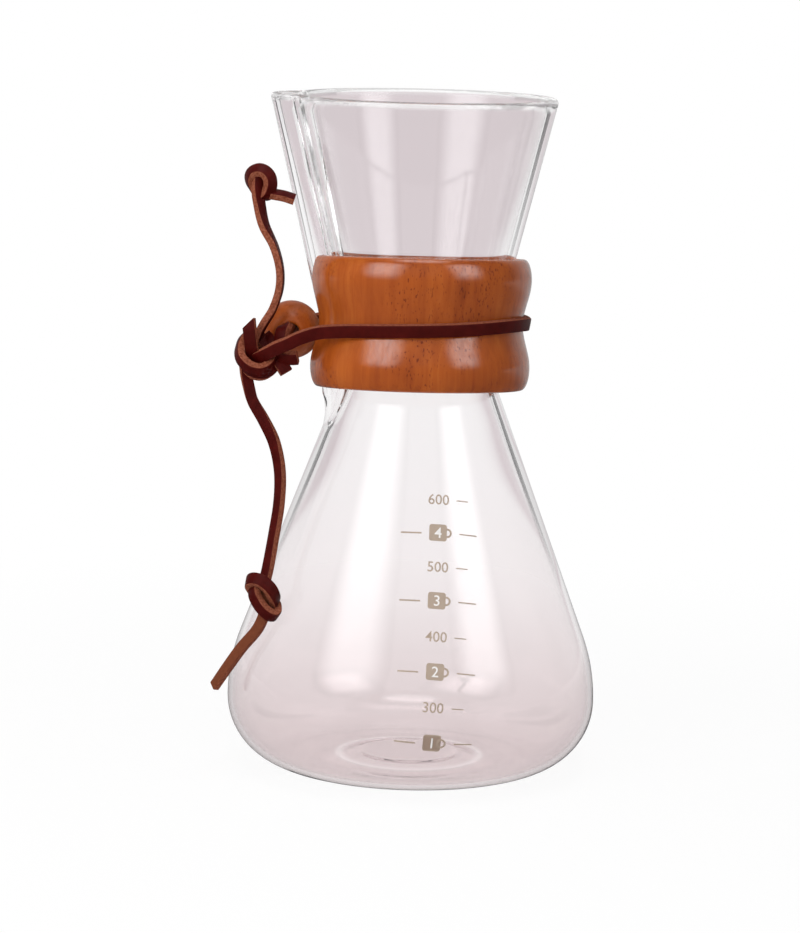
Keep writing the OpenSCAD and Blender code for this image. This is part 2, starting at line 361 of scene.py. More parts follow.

# %% [markdown]
# ## The two free tails
# Each tail leaves the tie's knot, ends in a knot of its own, and has a short piece left over. They are free
# cords, so they come first, and the script measures their length. Their
# points are the ones that the solids follow, as steps from the tie's knot.

# %% Tails
TIE_KNOT = Vector((-49.954, -13.965, 135.902))
UPPER_KNOT = TIE_KNOT + Vector((-2, 5, 55))
LOWER_KNOT = TIE_KNOT + Vector((2, -15.5, -78))
UPPER_STEPS = (
    (-2.4, 2.4, 4.6), (-1.6, 1.8, 7.4), (-0.1, 1.5, 10.4), (2.5, 1.5, 15), (4.5, 1.5, 21.5), (4.5, 2, 28),
    (2.5, 3, 35), (-1, 3.6, 42), (-2.7, 3.8, 49.4), (-3.2, 4.0, 53.5), (-3.1, 4.8, 56.6), (-2.9, 5.4, 58.8))
LOWER_STEPS = (
    (-6.0, 0.4, -3.4), (-5.6, 0.2, -6.5), (-4.6, -0.2, -10.8), (-3.2, -1, -15), (0.5, -2, -21), (4, -3, -28),
    (6, -4.5, -37), (6, -6.5, -47), (4.5, -9, -58), (3, -12.4, -67.5), (2, -14.6, -71.8))
UPPER_END_STEPS = ((2.4, 0.5, -3.0), (4.0, 0.2, -3.3), (7.2, 0, -3.8), (10.6, 0, -4.8))
LOWER_END_STEPS = (
    (0.4, 1.0, -3.2), (-0.4, 1.1, -6), (-2.4, 2.0, -10), (-7, 4.5, -16), (-11.5, 7.5, -23),
    (-16, 11.5, -30.5))
UPPER_SIZE, LOWER_SIZE, LOWER_END_SIZE = 0.9, 0.88, 0.82


def steps_from(knot, steps):
    return [knot + Vector(s) for s in steps]


upper_tail, upper_line = lace_piece("lace_upper_tail", (
    steps_from(TIE_KNOT, UPPER_STEPS),
    [(0.95, -0.3, 0), (0.99, -0.12, 0), (0.99, -0.12, 0), (0.97, -0.22, 0), (0.75, -0.65, 0),
     (0.45, -0.9, 0)],
    UPPER_SIZE))
lower_tail, lower_line = lace_piece("lace_lower_tail", (
    steps_from(TIE_KNOT, LOWER_STEPS),
    [(0.4, -0.9, 0), (0.0, -1, 0), (-0.6, -0.8, 0), (-0.75, -0.66, 0), (-0.75, -0.66, 0), (-0.6, -0.8, 0)],
    LOWER_SIZE))
upper_end, upper_end_line = lace_piece("lace_upper_end", (
    steps_from(UPPER_KNOT, UPPER_END_STEPS), [(0.1, -0.45, 0.9), (0.1, -0.45, 0.9)], UPPER_SIZE))
lower_end, lower_end_line = lace_piece("lace_lower_end", (
    steps_from(LOWER_KNOT, LOWER_END_STEPS), [(0.5, 0.85, 0), (0.6, 0.75, 0), (0.88, 0.45, 0)],
    LOWER_END_SIZE))
for tail, node in ((upper_tail, "upper_tail"), (lower_tail, "lower_tail"),
                   (upper_end, "upper_tail_end"), (lower_end, "lower_tail_end")):
    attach(tail, "carafe")
    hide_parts(node)
tail_lines = (upper_line, lower_line, upper_end_line, lower_end_line)
print("tails:", [round(line_length(line) / MM, 1) for line in tail_lines], "mm")

# %% [markdown]
# ## Knots at the tails
# Near the end of each tail the lace is tied in an overhand knot. A ball would be the quick stand-in. Here
# each knot is a few short strips that curl over and under each other, with the broad side turned out of
# the curl, so that the dark face, the pale cut edge and the gaps between the turns all show.

# %% Tail knots
upper_knot, _ = lace_piece(
    "lace_upper_knot",
    ([(-51.6, -8.4, 186.8), (-50.3, -9.5, 187.4), (-49.5, -9.8, 189.0), (-49.1, -10.0, 191.0),
      (-49.5, -10.2, 193.2), (-50.9, -10.2, 194.8), (-52.8, -9.9, 195.4), (-54.9, -9.4, 194.6),
      (-55.8, -8.8, 192.8), (-55.5, -8.0, 190.7), (-54.5, -7.4, 188.9)],
     [(0.6, -0.7, -0.4), (0.7, -0.75, 0), (0.6, -0.7, 0.35), (0.2, -0.65, 0.75), (-0.4, -0.5, 0.75),
      (-0.85, -0.4, 0.2), (-0.9, -0.1, -0.4)]),
    ([(-54.6, -6.6, 192.6), (-52.4, -6.6, 190.6), (-50.4, -7.0, 188.4), (-49.0, -7.8, 187.4)],
     [(0.3, -1, 0.5), (0.3, -1, 0.5)]))
lower_knot, _ = lace_piece(
    "lace_lower_knot",
    ([(-51.7, -25.5, 61.5), (-52.7, -27.2, 63.5), (-52.2, -29.2, 65.0), (-50.5, -30.8, 65.5),
      (-48.3, -31.6, 64.9), (-46.1, -31.6, 63.0), (-44.8, -30.6, 60.4), (-44.4, -28.8, 58.1),
      (-45.1, -26.6, 56.1)],
     [(-1, 0.1, 0.1), (-0.7, -0.5, 0.5), (-0.1, -0.8, 0.6), (0.25, -0.85, 0.5), (0.65, -0.7, 0.3),
      (0.95, -0.3, 0.1)]),
    ([(-49.1, -27.0, 63.1), (-50.7, -28.8, 62.5), (-50.9, -30.4, 60.8), (-49.9, -31.2, 58.6),
      (-48.5, -31.8, 56.7), (-46.7, -31.8, 55.0), (-45.0, -31.0, 54.0), (-43.5, -29.2, 54.4),
      (-43.3, -27.2, 55.8), (-44.6, -25.8, 57.1)],
     [(-0.5, -0.4, 0.8), (-0.9, -0.5, 0.2), (-0.65, -0.75, -0.2), (-0.4, -0.8, -0.5), (0.1, -0.75, -0.7),
      (0.85, -0.4, -0.4), (0.8, 0.4, 0.4)]),
    ([(-49.0, -28.2, 62.8), (-47.5, -28.8, 60.3), (-46.2, -28.6, 58.1), (-45.0, -27.4, 55.7)],
     [(0.2, 0.95, 0.1), (0.2, 0.95, 0.1)]))
for knot, node in ((upper_knot, "upper_tail_knot"), (lower_knot, "lower_tail_knot")):
    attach(knot, "carafe")
    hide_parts(node)

line_length(upper_line)
line_length(lower_line)
line_length(lower_end_line)

# %% [markdown]
# ## The tie round the collar
# The lace runs round the collar's groove, passes through the bead from behind, and is knotted in front of
# it. Where a run lies on the wood it would go with it when that half of the collar comes off, and its ends
# would stay.
# So each run is made in two stretches that meet on the wood: a band round the groove, which bends close to
# its right end, where the other run goes on, and a lead to the knot or the bead, which bends past the wood.

# %% Tie runs
GROOVE_LINE = 34.75
LEAN = -0.16
FRONT_MEET, REAR_MEET = 0.64, 0.7
BAND_LEVELS = (146.7, 147.3, 147.8, 148.1, 148.25, 148.25, 148.15, 148.0, 147.85, 147.65, 147.4, 147.05)


def round_groove(side, levels):
    """Points round the groove every 10 degrees from its right end, on the front (-1) or the rear (1)."""
    angles = [math.radians(10 * i) for i in range(len(levels))]
    points = [(GROOVE_LINE * math.cos(a), side * GROOVE_LINE * math.sin(a), z)
              for a, z in zip(angles, levels)]
    return [(GROOVE_LINE, -side * 0.3, levels[0]), *points[1:]]


def round_looks(side, last_angle, count):
    return [(math.cos(a), side * math.sin(a), LEAN)
            for a in (math.radians(last_angle * i / (count - 1)) for i in range(count))]


front_points = round_groove(-1, BAND_LEVELS) + [
    (-19.6, -29.3, 146.5), (-25.2, -26.9, 146.0), (-30, -24.6, 145.4), (-33.4, -22.8, 144.6),
    (-38.4, -20.8, 142.7), (-42.0, -19.6, 140.8), (-45.7, -18.6, 139.1), (-48.7, -17.6, 137.3),
    (-51.0, -16.4, 135.9), (-52.5, -14.8, 134.8), (-53.9, -12.6, 133.9)]
front_looks = round_looks(-1, 112, 9) + [
    (-0.38, -0.92, LEAN), (-0.36, -0.9, -0.25), (-0.3, -0.88, -0.4), (-0.3, -0.85, -0.45),
    (-0.6, -0.7, -0.3)]
rear_points = round_groove(1, [146.7 - 0.1 * i for i in range(13)]) + [
    (-24.5, 26, 145.2), (-30.5, 22.0, 144.6), (-36.2, 17.8, 143.6), (-39.5, 15.2, 143.0),
    (-41.3, 12.4, 142.7), (-41.8, 9.4, 142.6), (-41.8, 6.0, 142.6)]
rear_looks = round_looks(1, 124, 9) + [(-0.6, 0.8, 0.1), (-0.75, 0.6, 0.25), (-1, 0, 0.4)]
front_band, front_line = lace_piece(
    "lace_front_band", (front_points, front_looks, 1.0, 0.0, (0.0, FRONT_MEET)))
front_lead, _ = lace_piece("lace_front_lead", (front_points, front_looks, 1.0, 0.0, (FRONT_MEET, 1.0)))
rear_band, rear_line = lace_piece("lace_rear_band", (rear_points, rear_looks, 1.0, 0.0, (0.0, REAR_MEET)))
rear_lead, _ = lace_piece("lace_rear_lead", (rear_points, rear_looks, 1.0, 0.0, (REAR_MEET, 1.0)))
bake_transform(front_band)
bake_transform(front_lead)
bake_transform(rear_band)
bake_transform(rear_lead)
for stretch, node in ((front_band, "tie_front_run"), (front_lead, "tie_front_run"),
                      (rear_band, "tie_rear_run"), (rear_lead, "tie_rear_run")):
    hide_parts(node)

bead_strand, strand_line = lace_piece("lace_bead_strand", (
    [(-41.8, 5.9, 142.6), (-41.8, 1, 142.7), (-41.9, -4, 143.0), (-42.4, -8.6, 143.9),
     (-43.3, -10.6, 144.6), (-44.1, -11.9, 144.0), (-44.5, -12.7, 142.2), (-44.9, -12.8, 139.8),
     (-46.0, -12.2, 137.8)],
    [(-1, 0, 0.4), (-1, 0, 0.4), (-0.9, -0.3, 0.5), (-0.5, -0.8, 0.4), (-0.5, -0.9, 0.1)]))
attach(bead_strand, "carafe")
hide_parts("bead_strand")
print("tie:", round(line_length(front_line) / MM), "+", round(line_length(rear_line) / MM), "+",
      round(line_length(strand_line) / MM), "mm of lace")

# %% [markdown]
# ## The knot in front of the bead
# A big loose turn lies on the left with its cut edge to the viewer, the front run dives under it, and two
# short ends stand out, one up and one to the lower right. Three more turns fill the inside of the knot.

# %% Tie knot
tie_knot, _ = lace_piece(
    "lace_tie_knot",
    ([(-53.3, -9.5, 141.9), (-55.1, -10.5, 142.2), (-56.6, -12.5, 141.3), (-57.5, -14.5, 139.3),
      (-57.8, -16.0, 137.2), (-57.2, -17.2, 135.2), (-55.4, -18.0, 133.3), (-53.2, -18.4, 132.1),
      (-50.8, -18.2, 131.7), (-48.6, -17.0, 132.5), (-47.3, -15.0, 134.0), (-46.9, -12.5, 135.6)],
     [(-0.4, 0.1, 0.9), (-0.8, -0.1, 0.6), (-0.97, -0.3, 0.1), (-0.8, -0.5, -0.3), (-0.4, -0.7, -0.6),
      (0.1, -0.8, -0.6), (0.7, -0.6, -0.4), (1, -0.2, 0)]),
    ([(-56.4, -12.4, 133.6), (-54.3, -14.4, 131.0), (-51.4, -15.4, 130.1), (-48.9, -15.2, 130.8),
      (-47.1, -14.3, 132.6), (-45.9, -12.8, 134.7)],
     [(-0.4, -0.8, 0.4), (0, -0.9, 0.4), (0.3, -0.9, 0.3), (0.5, -0.8, 0.3)]),
    ([(-53.0, -9.2, 143.0), (-51.9, -10.0, 141.3), (-50.2, -10.8, 139.2), (-47.9, -11.4, 137.5),
      (-45.4, -11.8, 136.0)],
     [(0.5, -0.8, 0.5), (0.5, -0.8, 0.5)]),
    ([(-47.2, -9.4, 141.8), (-48.6, -9.8, 140.6), (-50.2, -10.6, 138.6), (-52.0, -11.4, 136.9),
      (-54.2, -12.0, 135.9), (-56.3, -12.4, 136.4)],
     [(-0.5, -0.8, 0.4), (-0.3, -0.9, 0.3), (0, -1, 0.2)]))
upper_stub, _ = lace_piece("lace_upper_stub", (
    [(-53.2, -13.6, 134.8), (-53.8, -15.8, 138.0), (-54.2, -17.2, 141.2), (-54.5, -17.6, 144.2),
     (-54.8, -17.2, 146.6)],
    [(-0.1, -1, 0.3), (-0.16, -1, 0.2), (-0.22, -1, -0.1)], 1.0, -0.7))
lower_stub, _ = lace_piece(
    "lace_lower_stub",
    ([(-47.4, -13.2, 136.8), (-44.0, -15.2, 135.9), (-41.2, -16.2, 135.6), (-39.0, -16.6, 135.8)],
     [(0.2, -0.9, -0.35), (0.1, -0.9, -0.4), (0.1, -0.9, -0.4)]),
    ([(-47.4, -12.4, 135.4), (-45.3, -14.2, 134.0), (-43.7, -15.2, 132.4), (-42.6, -15.6, 130.8)],
     [(0.3, -0.9, 0.3), (0.4, -0.9, 0.1), (0.3, -0.95, 0)]))
for piece, node in ((tie_knot, "tie_knot"), (upper_stub, "tie_upper_stub"), (lower_stub, "tie_lower_stub")):
    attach(piece, "carafe")
    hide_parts(node)
print("tie knot:", len(tie_knot.data.polygons), "faces")

# %% [markdown]
# ## The glass
# The carafe is blown: one skin outside, one inside, and a round lip between them. Its outline is drawn once
# as a line of points and spun round the axis. The pouring channel then bulges out of the spun skin: at each
# height the channel is a circle beside the axis, and the skin moves out to whichever of its own circle
# and the channel's lies further out, with a soft hollow between them, as hot glass would flow.

# %% Glass lines
GLASS_H, BODY_R, HEEL_R, SHOULDER_R = 220.0, 60.5, 22.0, 60.0
CONE, FUNNEL = math.radians(20.6), math.radians(13.6)
NECK_R, NECK_ROUND, WALL, LOW_WALL = 24.3, 40.0, 3.0, 1.6
THIN_FROM, THIN_OVER = 115, 55
shoulder_end = (BODY_R - SHOULDER_R * (1 - math.cos(CONE)), HEEL_R + SHOULDER_R * math.sin(CONE))
cone_top_r = NECK_R + NECK_ROUND * (1 - math.cos(CONE))
cone_top_z = shoulder_end[1] + (shoulder_end[0] - cone_top_r) / math.tan(CONE)
neck_z = cone_top_z + NECK_ROUND * math.sin(CONE)
funnel_start = (NECK_R + NECK_ROUND * (1 - math.cos(FUNNEL)), neck_z + NECK_ROUND * math.sin(FUNNEL))
LIP_R = WALL / 2
LIP_Z = GLASS_H - LIP_R
lip_r = funnel_start[0] + (LIP_Z - funnel_start[1]) * math.tan(FUNNEL) - LIP_R / math.cos(FUNNEL)


def arc(centre, radius, start, end, steps):
    """Points of an arc in the r-z plane; angles in degrees."""
    return [(centre[0] + radius * math.cos(a), centre[1] + radius * math.sin(a))
            for a in (math.radians(start + (end - start) * i / steps) for i in range(steps + 1))]


def straight(start, end, steps):
    """Points between two ends, without the ends."""
    return [(start[0] + (end[0] - start[0]) * i / steps, start[1] + (end[1] - start[1]) * i / steps)
            for i in range(1, steps)]


def skin_line(grow):
    """The glass's skin from the edge of the base's ring up to the lip, grow outside the outer skin."""
    cone, funnel = math.degrees(CONE), math.degrees(FUNNEL)
    heel = arc((BODY_R - HEEL_R, HEEL_R), HEEL_R + grow, -90, 0, 18)
    shoulder = arc((BODY_R - SHOULDER_R, HEEL_R), SHOULDER_R + grow, 0, cone, 8)[1:]
    waist = arc((NECK_R + NECK_ROUND, neck_z), NECK_ROUND - grow, 180 + cone, 180 - funnel, 18)
    side = 1 if grow == 0 else -1
    edge = (lip_r + side * LIP_R * math.cos(FUNNEL), LIP_Z - side * LIP_R * math.sin(FUNNEL))
    lower_cone, upper_cone = straight(shoulder[-1], waist[0], 60), straight(waist[-1], edge, 26)
    return heel + shoulder + lower_cone + waist + upper_cone + [edge]


def clamped(share):
    return min(max(share, 0), 1)


def eased(share):
    """A share from 0 to 1 that starts and ends softly."""
    return share * share * (3 - 2 * share)


def thin_share(z):
    """How far the wall has thinned at height z: 0 in the funnel, 1 low down, where it was blown widest."""
    return eased(clamped((THIN_FROM - z) / THIN_OVER))


outer_skin = skin_line(0)
inner_skin = [(a[0] + (b[0] - a[0]) * thin_share(a[1]), a[1] + (b[1] - a[1]) * thin_share(a[1]))
              for a, b in zip(skin_line(-WALL), skin_line(-LOW_WALL))]
print("glass: neck at", round(neck_z, 1), "mm; outline", len(outer_skin) + len(inner_skin), "points")

# %% Channel
RIM_OUT, CHANNEL_RIM_R, CHANNEL_NECK_R, CHANNEL_WALL = 6.8, 12.0, 7.6, 2.6
BEND_RISE = 5.5
BEND_Z = neck_z + BEND_RISE
waist_at_bend = NECK_R + NECK_ROUND - math.sqrt(NECK_ROUND ** 2 - BEND_RISE ** 2)
rim_r = funnel_start[0] + (GLASS_H - funnel_start[1]) * math.tan(FUNNEL)
FOOT_TIP_Z, FOOT_TIP, FOOT_SLOPE, FOOT_RIDGE, FOOT_TOP = 113.0, 28.3, 0.314, 31.4, BEND_Z + 13
FOOT_SWELL, SWELL_FROM, SWELL_OVER = 1.4, 129, 7
HOLLOW, FUNNEL_HOLLOW, FOOT_HOLLOW = 1.2, 6.0, 3.0
FUNNEL_HOLLOW_Z, FOOT_HOLLOW_Z, FOOT_HOLLOW_OVER = 168, 127, 8
CHANNEL_HALF_ANGLE = 1.2


def channel_rings(z):
    """(distance from the axis, radius) of the channel's circles at height z."""
    rise = (z - BEND_Z) / (GLASS_H - BEND_Z)
    ridge = waist_at_bend + (rim_r - waist_at_bend) * rise + RIM_OUT
    radius = CHANNEL_NECK_R + (CHANNEL_RIM_R - CHANNEL_NECK_R) * rise
    if z < FOOT_TIP_Z:
        return []
    rings = [(ridge - radius, radius)]
    if z < FOOT_TOP:
        low_ridge = min(FOOT_RIDGE, FOOT_TIP + FOOT_SLOPE * (z - FOOT_TIP_Z))
        low_radius = CHANNEL_NECK_R + FOOT_SWELL * clamped((SWELL_FROM - z) / SWELL_OVER)
        rings.append((low_ridge - low_radius, low_radius))
    return rings


def channel_reach(angle, z, shrink):
    """How far from the axis the channel's skin is, seen along angle from -X, or 0 where there is none."""
    reach = 0.0
    for centre, radius in channel_rings(z):
        within = (radius - shrink) ** 2 - (centre * math.sin(angle)) ** 2
        if radius > shrink and within > 0 and abs(angle) < math.pi / 2:
            reach = max(reach, centre * math.cos(angle) + math.sqrt(within))
    return reach


def soft_most(a, b, blend):
    """The larger of two lengths, with a soft hollow of that size where they are alike."""
    gap = max(blend - abs(a - b), 0) / blend
    return max(a, b) + gap * gap * blend / 4


def hollow_at(z):
    """How wide the soft hollow beside the channel is: wide in the funnel and at its foot, else narrow."""
    funnel_share = clamped((z - FUNNEL_HOLLOW_Z) / (GLASS_H - FUNNEL_HOLLOW_Z))
    foot_share = clamped((FOOT_HOLLOW_Z - z) / FOOT_HOLLOW_OVER)
    return HOLLOW + FUNNEL_HOLLOW * funnel_share + FOOT_HOLLOW * foot_share


def blow_channel(bm, depth):
    """Move a spun skin's vertices out to the channel. depth is 0 on the outer skin and 1 on the inner."""
    for v in bm.verts:
        r, z = math.hypot(v.co.x, v.co.y) / MM, v.co.z / MM
        angle = math.atan2(v.co.y, -v.co.x)
        if z < FOOT_TIP_Z - 2 or abs(angle) > CHANNEL_HALF_ANGLE:
            continue
        at = min(z, LIP_Z)
        shift = 0.0
        for line, wall, share in ((outer_skin, 0, 1 - v[depth]), (inner_skin, CHANNEL_WALL, v[depth])):
            reach = channel_reach(angle, at, wall) + (r - skin_radius(line, at))
            shift += (soft_most(r, reach, hollow_at(at)) - r) * share
        v.co.x *= (r + shift) / r
        v.co.y *= (r + shift) / r


def skin_radius(line, z):
    """The radius of a skin at height z above the widest ring."""
    for (r0, z0), (r1, z1) in zip(line, line[1:]):
        if z0 <= z <= z1 and z1 > z0 and z0 >= HEEL_R:
            return r0 + (r1 - r0) * (z - z0) / (z1 - z0)
    return line[-1][0]


print("channel: bends at", round(BEND_Z, 1), "mm and ends at", FOOT_TIP_Z, "mm")

# %% Spin the glass
ROUND_STEPS, BASE_STEPS = 224, 24


def base_line(lift, drops):
    """The base from the axis out: level, with a soft S at each of drops, (level to, down at, height)."""
    z = lift + sum(height for _, _, height in drops)
    points = [(0.0, z), (drops[0][0] / 2, z)]
    for flat, edge, height in drops:
        for i in range(BASE_STEPS + 1):
            share = i / BASE_STEPS
            points.append((flat + (edge - flat) * share, z - height * eased(share)))
        z -= height
    return points


PUNT = (16.0, 24.0, 1.3)
FLOOR_RING = (29.0, 37.0, 0.25)
lip = arc((lip_r, LIP_Z), LIP_R, -math.degrees(FUNNEL), 180 - math.degrees(FUNNEL), 12)[1:-1]
outline = [(p, 0.0) for p in base_line(0, [PUNT]) + outer_skin]
outline += [(p, (i + 1) / (len(lip) + 1)) for i, p in enumerate(lip)]
outline += [(p, 1.0) for p in reversed(base_line(LOW_WALL, [PUNT, FLOOR_RING]) + inner_skin)]

bm = bmesh.new()
depth = bm.verts.layers.float.new("depth")
verts = []
for (r, z), share in outline:
    verts.append(bm.verts.new((r * MM, 0, z * MM)))
    verts[-1][depth] = share
edges = [bm.edges.new(pair) for pair in zip(verts, verts[1:])]
bmesh.ops.spin(bm, geom=[*verts, *edges], cent=(0, 0, 0), axis=(0, 0, 1), angle=math.tau,
               steps=ROUND_STEPS, use_merge=True)
bmesh.ops.remove_doubles(bm, verts=bm.verts, dist=1e-6)
bmesh.ops.recalc_face_normals(bm, faces=bm.faces)
blow_channel(bm, depth)
open_edges = [e for e in bm.edges if not e.is_manifold]
print("glass:", len(bm.faces), "faces,", len(open_edges), "open edges, volume",
      round(bm.calc_volume(signed=True) * 1e6, 1), "cm3")

# %% [markdown]
# ## The look of the glass
# Clear glass has almost no colour of its own. What makes it visible is that light bends at every skin, so
# the edges darken where it has the longest way to go. Here that darkening is painted shade in the glass's
# colour: a very faint warm grey, stronger towards the thick base and where the skin is seen aslant, stands
# for it in a bright studio, and a paler ring where the base turns up is a painted highlight. Slow waves from
# the blowing show as a slight bump. At the very lip part of the light passes straight on, or the lip would be
# a black line: the alpha is the share that doesn't. Shadows pass almost whole, which saves the search for
# light that bends on its way in.

# %% Glass finish
PALE_RING_IN, PALE_RING_OUT, BASE_TOP = (0.021, 0.0232), (0.0238, 0.0256), (0.004, 0.006)
glass = Finish("clear_glass")
spot = glass.node("ShaderNodeTexCoord", out="Object")
height = glass.node("ShaderNodeSeparateXYZ", {}, {0: spot}, out=2)
share_up = height / (GLASS_H * MM)
# Painted shade: the glass's colour greys towards the thick base.
painted_shade_by_height = glass.ramp(share_up, (
    (0.0, (0.86, 0.787, 0.792)), (0.1, (0.885, 0.826, 0.831)), (0.28, (0.96, 0.933, 0.937)),
    (0.46, (0.964, 0.948, 0.952)), (0.62, (0.965, 0.955, 0.957)), (0.74, (0.975, 0.97, 0.971))))
aslant = glass.node("ShaderNodeLayerWeight", {}, {"Blend": 0.35}, out="Facing")
# Painted shade: the colour greys further where the skin is seen aslant.
glass_painted_shading = glass.mix(glass.step(aslant, 0.35, 0.9) * 0.3, painted_shade_by_height, (0.66, 0.62, 0.63, 1))
flat_spot = glass.node("ShaderNodeVectorMath", {"operation": "MULTIPLY"}, {0: spot, 1: (1, 1, 0)})
from_axis = glass.node("ShaderNodeVectorMath", {"operation": "LENGTH"}, {0: flat_spot}, out="Value")
in_base = 1 - glass.step(height, *BASE_TOP)
# Painted highlight: a paler ring in the base where it turns up.
ring = glass.step(from_axis, *PALE_RING_IN) * (1 - glass.step(from_axis, *PALE_RING_OUT))
glass_painted_shading = glass.mix(ring * in_base, glass_painted_shading, (0.99, 0.965, 0.967, 1))
met = 1 - 0.45 * glass.step(share_up, 0.988, 0.995)
waves = glass.noise(glass.place((1, 1, 0.35)), 22, 1.5, 0.4)
clear_glass = glass.done(Base_Color=glass_painted_shading, Roughness=0.0, IOR=1.47, Transmission_Weight=1.0,
                         Specular_Tint=(0.65, 0.65, 0.65, 1),
                         Alpha=met * (1 - glass.ray("Shadow") * 0.85),
                         Normal=glass.bump(waves, 0.0006, 0.12))
carafe = new_piece("carafe_glass", bm, clear_glass)
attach(carafe, "carafe")
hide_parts("glass_carafe")
print("finish:", clear_glass.name)

# %% [markdown]
# ## The wooden collar
# The collar was turned on a lathe and sawn in two. Cutting a full ring would leave slivers along the saw's
# plane, and an edge beside a sliver can't be rounded. So the outline is spun through half a turn only, and
# its rings are drawn together until the two ends lie on the saw's planes: near the middle on the right,
# and further off on the left, where the channel needs room. The ends are filled and their edges rounded.
# The bore is a little wider than the waist, so the tied collar can sit askew: its front has ridden up.

# %% Collar halves
COLLAR_H, COLLAR_BELOW, COLLAR_WALL, SWELL, EDGE, EDGE_TALL, FIT = 42.5, 11.0, 7.7, 2.5, 2.6, 7.0, 0.3
SPLIT, CHANNEL_GAP, SAWN_ROUND, HALF_TURN_STEPS = 1.2, 14.8, 0.8, 84
COLLAR_TIP, COLLAR_DROP, BORE_ROOM = math.radians(-4.8), 0.4, 1.2
collar_z = neck_z - COLLAR_BELOW
tie_z = collar_z + COLLAR_H / 2
groove_r = skin_radius(outer_skin, tie_z) + FIT + COLLAR_WALL
collar_r = groove_r + SWELL
swell_rise = COLLAR_H / 2 - EDGE_TALL


def collar_outline():
    """Closed outline of the wood in the r-z plane."""
    low = [(r, collar_z + (z - collar_z) * EDGE_TALL / EDGE)
           for r, z in arc((collar_r - EDGE, collar_z + EDGE), EDGE, -90, 0, 14)]
    groove = [(collar_r - SWELL * (1 + math.cos(math.pi * i / 20)) / 2, tie_z + swell_rise * i / 20)
              for i in range(-20, 21)]
    high = [(r, 2 * tie_z - z) for r, z in reversed(low)]
    room = FIT + BORE_ROOM
    inside = [(skin_radius(outer_skin, z) + room, z)
              for z in (collar_z + COLLAR_H * (1 - i / 20) for i in range(21))]
    soft = 0.6
    inside[0] = (inside[0][0] + soft, inside[0][1])
    inside[-1] = (inside[-1][0] + soft, inside[-1][1])
    inside.insert(1, (skin_radius(outer_skin, collar_z + COLLAR_H - soft) + room, collar_z + COLLAR_H - soft))
    inside.insert(-1, (skin_radius(outer_skin, collar_z + soft) + room, collar_z + soft))
    return low + groove[1:-1] + high + inside


def collar_half(side):
    """One half of the collar: side -1 is the front, 1 the rear."""
    bm = bmesh.new()
    ring = [bm.verts.new((r * MM, 0, z * MM)) for r, z in collar_outline()]
    edges = [bm.edges.new((a, b)) for a, b in zip(ring, ring[1:] + ring[:1])]
    bmesh.ops.spin(bm, geom=[*ring, *edges], cent=(0, 0, 0), axis=(0, 0, 1), angle=side * math.pi,
                   steps=HALF_TURN_STEPS)
    for v in bm.verts:
        r = math.hypot(v.co.x, v.co.y)
        first = math.asin(SPLIT / 2 * MM / r)
        last = math.pi - math.asin(CHANNEL_GAP / 2 * MM / r)
        turn = first + (last - first) * abs(math.atan2(v.co.y, v.co.x)) / math.pi
        v.co.x, v.co.y = r * math.cos(turn), side * r * math.sin(turn)
    sawn = bmesh.ops.holes_fill(bm, edges=[e for e in bm.edges if e.is_boundary], sides=0)["faces"]
    corners = {e for f in sawn for e in f.edges}
    bmesh.ops.bevel(bm, geom=list(corners), offset=SAWN_ROUND * MM, segments=4, profile=0.5,
                    affect="EDGES", material=-1)
    bmesh.ops.recalc_face_normals(bm, faces=bm.faces)
    if bm.calc_volume(signed=True) < 0:
        bmesh.ops.reverse_faces(bm, faces=bm.faces)
    bmesh.ops.rotate(bm, cent=(0, 0, tie_z * MM), matrix=Matrix.Rotation(COLLAR_TIP, 3, "X"),
                     verts=bm.verts)
    bmesh.ops.translate(bm, vec=(0, 0, -COLLAR_DROP * MM), verts=bm.verts)
    return bm


halves = {"collar_front_half": collar_half(-1), "collar_rear_half": collar_half(1)}
print("collar:", [len(half.faces) for half in halves.values()], "faces; groove", round(groove_r, 2), "mm")

# %% [markdown]
# ## Varnished wood
# The wood is orange-brown with an upright grain, short dark pores, and a thick clear varnish that mirrors the
# two windows of light in front of it. Grain runs along Z, so the noise that draws it is stretched that way:
# it changes fast round the collar and slowly up it. A coat on the shader is the varnish.


# %% Wood finish
def varnished(name, gloss, satin, pitted):
    """Wood under a varnish of weight gloss and roughness satin, with pores as dark as pitted says."""
    wood = Finish(name)
    streaks = wood.noise(wood.place((1, 1, 0.045)), 420, 4, 0.6, 0.4)
    bands = wood.noise(wood.place((1, 1, 0.12)), 70, 2, 0.5, 0.3)
    cloud = wood.noise(wood.place(), 38, 2, 0.5)
    pores = wood.noise(wood.place((1, 1, 0.28)), 1900, 1, 0.5)
    where = wood.noise(wood.place((1, 1, 0.6)), 52, 1, 0.5)
    pore = wood.step(pores, 0.62, 0.68) * wood.step(where, 0.42, 0.58)
    body = wood.ramp(streaks * 0.45 + bands * 0.4 + cloud * 0.3, (
        (0.36, tone(118, 48, 10)), (0.52, tone(152, 69, 17)),
        (0.64, tone(165, 79, 22)), (0.78, tone(178, 93, 32))))
    colour = wood.mix(pore * pitted, body, (*tone(92, 30, 9), 1))
    relief = wood.bump(streaks * 0.3 - pore * 0.5 + cloud * 0.5, 0.00018, 0.3)
    worn = wood.step(wood.noise(wood.place((1, 1, 0.35)), 800, 3, 0.7), 0.42, 0.62)
    lacquer = gloss * (1 - 0.3 * worn - 0.4 * pore)
    return wood.done(Base_Color=colour, Roughness=0.5 - streaks * 0.12, Normal=relief, Coat_Weight=lacquer,
                     Coat_Roughness=satin, Coat_IOR=1.55, Specular_IOR_Level=0.1)


